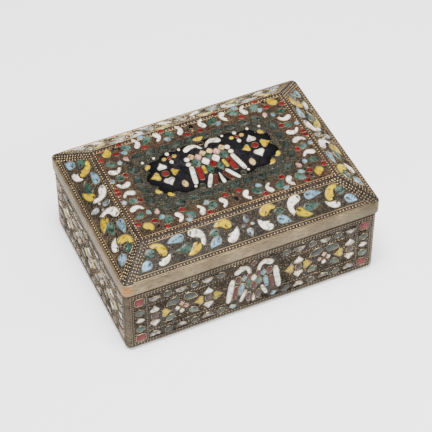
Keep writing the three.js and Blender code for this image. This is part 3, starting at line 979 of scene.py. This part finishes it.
def placeRow(face, start, end, size):
    start, end = Vector(start), Vector(end)
    radius = beads[size]["radius"]
    length = (end - start).length
    count = max(2, round(length / beads[size]["pitch"]) + 1)
    deselectAll()
    bpy.ops.mesh.primitive_uv_sphere_add(segments=6, ring_count=4, radius=radius)
    piece = bpy.context.object
    editAll()
    bpy.ops.mesh.bisect(plane_co=(0, 0, -0.3 * radius), plane_no=(0, 0, -1), clear_outer=True, use_fill=True)
    bpy.ops.mesh.select_all(action="SELECT")
    bpy.ops.transform.resize(value=(0.8, 1, beads["height"]), center_override=(0, 0, 0))
    bpy.ops.object.mode_set(mode="OBJECT")
    dome = piece.data.attributes.new("dome", "FLOAT", "POINT")
    for vertex in piece.data.vertices:
        dome.data[vertex.index].value = max(vertex.co.z / (beads["height"] * radius), 0)
    array = piece.modifiers.new("row", "ARRAY")
    array.count = count
    array.use_relative_offset = False
    array.use_constant_offset = True
    array.constant_offset_displace = (length / (count - 1), 0, 0)
    bpy.ops.object.modifier_apply(modifier="row")
    along = math.atan2(end.y - start.y, end.x - start.x)
    return finishRow(face, piece, start, along)


def placeWire(face, start, end):
    start, end = Vector(start), Vector(end)
    length, radius = (end - start).length, beads["wire"]
    deselectAll()
    bpy.ops.mesh.primitive_cylinder_add(vertices=6, radius=radius, depth=length,
                                        rotation=(0, math.pi / 2, 0), location=(length / 2, 0, radius))
    piece = bpy.context.object
    bpy.ops.object.transform_apply(location=True, rotation=True, scale=False)
    dome = piece.data.attributes.new("dome", "FLOAT", "POINT")
    for vertex in piece.data.vertices:
        dome.data[vertex.index].value = 0.6
    return finishRow(face, piece, start, math.atan2(end.y - start.y, end.x - start.x))


def finishRow(face, piece, start, along):
    piece.data.transform(face["matrix"] @ shift(*start) @ Matrix.Rotation(along, 4, "Z"))
    piece.data.materials.clear()
    piece.data.materials.append(ropeBrass if face in wallFaces else beadBrass)
    return piece


lidRows, bodyRows = [], []
for quarter, face in enumerate(slopeFaces):
    foot = halfOf("roof", quarter)
    slope = box["slope"]

    def edge(v):
        return foot - (v / slope) * box["roofInset"]

    for kind, v, inward in beads["slopeRows"]:
        start, end = (-edge(v) + inward, v), (edge(v) - inward, v)
        lidRows.append(placeWire(face, start, end) if kind == "wire" else placeRow(face, start, end, kind))
    top = beads["hipTop"]
    for side in (-1, 1):
        for inward, low in beads["hipRows"]:
            start, end = (side * (edge(low) - inward), low), (side * (edge(top) - inward), top)
            lidRows.append(placeRow(face, start, end, "hip"))
for side in (-1, 1):
    u, v = box["panelU"] - beads["panelRow"], box["panelV"] - beads["panelRow"]
    lidRows.append(placeRow(panelFace, (-u, side * v), (u, side * v), "main"))
    lidRows.append(placeRow(panelFace, (side * u, -v + 1), (side * u, v - 1), "main"))
    u, v = box["panelU"] - beads["panelWire"], box["panelV"] - beads["panelWire"]
    lidRows.append(placeWire(panelFace, (-u, side * v), (u, side * v)))
    lidRows.append(placeWire(panelFace, (side * u, -v + 0.3), (side * u, v - 0.3)))
for quarter, face in enumerate(wallFaces):
    end = halfOf("body", quarter)
    low, high = beads["columnEnds"]
    for side in (-1, 1):
        for inward in beads["wallColumns"]:
            u = side * (end - inward)
            bodyRows.append(placeRow(face, (u, low), (u, high), "fine"))
    for v in wall["edgeRows"]:
        bodyRows.append(placeRow(face, (-end + 2.2, v), (end - 2.2, v), "wall"))
    far = end - beads["rowEnd"]
    for v in wall["rows"]:
        if quarter == 0:
            for side in (-1, 1):
                bodyRows.append(placeRow(face, (side * wall["birdHalf"], v), (side * far, v), "wall"))
        else:
            bodyRows.append(placeRow(face, (-far, v), (far, v), "wall"))
finishPiece(joined(lidRows), "lidBeads", 60)
finishPiece(joined(bodyRows), "bodyBeads", 60)

# Fine scrolls of wire that fill the ground between the cells.
scrolls = {
    "wire": 0.17,
    "turns": 1.35,
    "steps": 12,
    "sizes": (0.8, 1.3),
    "spacing": 1.6,
    "clear": 0.55,
    "ring": (32.6, 17.2),
}


def makeScroll(turns, steps):
    deselectAll()
    bpy.ops.mesh.primitive_circle_add(vertices=3, radius=scrolls["wire"], fill_type="NGON",
                                      location=(1, 0, 0.1), rotation=(math.pi / 2, 0, 0))
    piece = bpy.context.object
    bpy.ops.object.transform_apply(location=True, rotation=True, scale=False)
    editAll()
    shrink = 0.25 ** (1 / steps)
    for _ in range(steps):
        bpy.ops.mesh.extrude_region_move()
        bpy.ops.transform.rotate(value=2 * math.pi * turns / steps, orient_axis="Z",
                                 center_override=(0, 0, 0))
        bpy.ops.transform.resize(value=(shrink, shrink, 1), center_override=(0, 0, 0))
    bpy.ops.mesh.select_all(action="SELECT")
    bpy.ops.mesh.normals_make_consistent(inside=False)
    bpy.ops.object.mode_set(mode="OBJECT")
    piece.data.materials.append(wireBrass)
    motif = {"mesh": piece.data, "outlines": []}
    bpy.data.objects.remove(piece)
    return motif


scrollMotif = makeScroll(scrolls["turns"], scrolls["steps"])


def inside(point, outline):
    x, y = point
    ax, ay = outline[:, 0], outline[:, 1]
    bx, by = np.roll(ax, -1), np.roll(ay, -1)
    crosses = (ay > y) != (by > y)
    with np.errstate(divide="ignore", invalid="ignore"):
        at = (bx - ax) * (y - ay) / (by - ay) + ax
    return np.count_nonzero(crosses & (x < at)) % 2 == 1


def clearOf(face, point, gap):
    for outline in face["taken"]:
        low, high = outline.min(0) - gap, outline.max(0) + gap
        if np.all(point > low) and np.all(point < high):
            if inside(point, outline) or np.min(np.linalg.norm(outline - point, axis=1)) < gap:
                return False
    return True


def scatterScrolls(face, area, allowed):
    low, high = area
    pitch = scrolls["spacing"]
    copies = []
    for row, v in enumerate(np.arange(low[1], high[1], pitch)):
        for u in np.arange(low[0] + (row % 2) * pitch / 2, high[0], pitch):
            point = np.array([u + random.uniform(-0.25, 0.25), v + random.uniform(-0.25, 0.25)])
            if allowed(point) and clearOf(face, point, scrolls["clear"]):
                size = random.uniform(*scrolls["sizes"])
                place = shift(*point) @ turnZ(random.uniform(0, 360)) @ Matrix.Diagonal((size, size, 1.3, 1))
                if random.random() < 0.5:
                    place = place @ mirrorU
                mesh = placedMesh(scrollMotif, face["matrix"] @ place)
                mesh.materials[0] = darkWire if face in wallFaces or random.random() < 0.5 else wireBrass
                copies.append(newObject("scroll", mesh))
    return copies


def onWall(point, end):
    besideColumn = abs(abs(point[0]) - end + beads["wallColumns"][2]) > 0.9
    besideRow = min(abs(point[1] - v) for v in wall["rows"]) > 0.8 or abs(point[0]) > end - 9.5
    return besideColumn and besideRow


lidScrolls, bodyScrolls = [], []
for quarter, face in enumerate(slopeFaces):
    foot = halfOf("roof", quarter)
    lidScrolls += scatterScrolls(face, ((-foot, 3.8), (foot, 15.0)), lambda point: (
        abs(point[0]) < foot - point[1] / box["slope"] * box["roofInset"] - 5))
uMax, vMax = box["panelU"] - 2.6, box["panelV"] - 2.6
ringU, ringV = scrolls["ring"]
lidScrolls += scatterScrolls(panelFace, ((-uMax, -vMax), (uMax, vMax)),
                             lambda point: abs(point[0]) > ringU or abs(point[1]) > ringV)
for quarter, face in enumerate(wallFaces):
    end = halfOf("body", quarter)
    bodyScrolls += scatterScrolls(face, ((-end + 4.4, 5.1), (end - 4.4, 35.3)),
                                  lambda point: onWall(point, end))
print(len(lidScrolls), len(bodyScrolls), "scrolls")
finishPiece(joined(lidScrolls), "lidScrolls", 60)
finishPiece(joined(bodyScrolls), "bodyScrolls", 60)

lidCopies = [piece for face in (*slopeFaces, panelFace) for piece in face["copies"]]
bodyCopies = [piece for face in wallFaces for piece in face["copies"]]
finishPiece(joined(lidCopies), "lidEnamel", 50)
finishPiece(joined(bodyCopies), "bodyEnamel", 50)
finishPiece(cartouchePiece, "cartouche", 50)

# Floor, light and camera.
deselectAll()
bpy.ops.mesh.primitive_plane_add(size=6, location=(0, 0, 0))
floor = bpy.context.object
floor.name = "floor"
floorPaint, nodes, links, shader = newMaterial("floorPaint")
shader.inputs["Base Color"].default_value = (0.9, 0.9, 0.9, 1)
shader.inputs["Roughness"].default_value = 0.8
shader.inputs["Emission Color"].default_value = (1, 1, 1, 1)
shader.inputs["Emission Strength"].default_value = 0.5
floor.data.materials.append(floorPaint)
floor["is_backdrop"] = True

world = bpy.data.worlds.new("whiteRoom")
bpy.context.scene.world = world
world.use_nodes = True
world.node_tree.nodes["Background"].inputs["Color"].default_value = (1, 1, 1, 1)
world.node_tree.nodes["Background"].inputs["Strength"].default_value = 0.42


def addLight(name, place, size, power):
    light = bpy.data.lights.new(name, "AREA")
    light.size = size
    light.energy = power
    lamp = newObject(name, light)
    lamp.location = place
    lamp.rotation_euler = (Vector((0, 0, 0.03)) - Vector(place)).to_track_quat("-Z", "Y").to_euler()
    lamp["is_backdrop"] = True


addLight("key", (-0.1, -0.12, 1.05), 0.4, 30)
addLight("fill", (0.35, -0.5, 0.45), 0.3, 3.5)

view = {"azimuth": -24.25, "elevation": 47.0, "distance": 0.8515, "lens": 147.1}
azimuth, elevation = math.radians(view["azimuth"]), math.radians(view["elevation"])
level = math.cos(elevation)
back = Vector((math.sin(azimuth) * level, -math.cos(azimuth) * level, math.sin(elevation)))
right = Vector((math.cos(azimuth), math.sin(azimuth), 0))
up = back.cross(right)
target = Vector((0, 0, 0.0221))
camera = newObject("camera", bpy.data.cameras.new("camera"))
camera.data.lens = view["lens"]
camera.data.sensor_width = 36
camera.location = target + back * view["distance"]
aim = target + right * 0.00113 - up * 0.0014
camera.rotation_euler = (aim - camera.location).to_track_quat("-Z", "Y").to_euler()
bpy.context.scene.camera = camera

low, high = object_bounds()
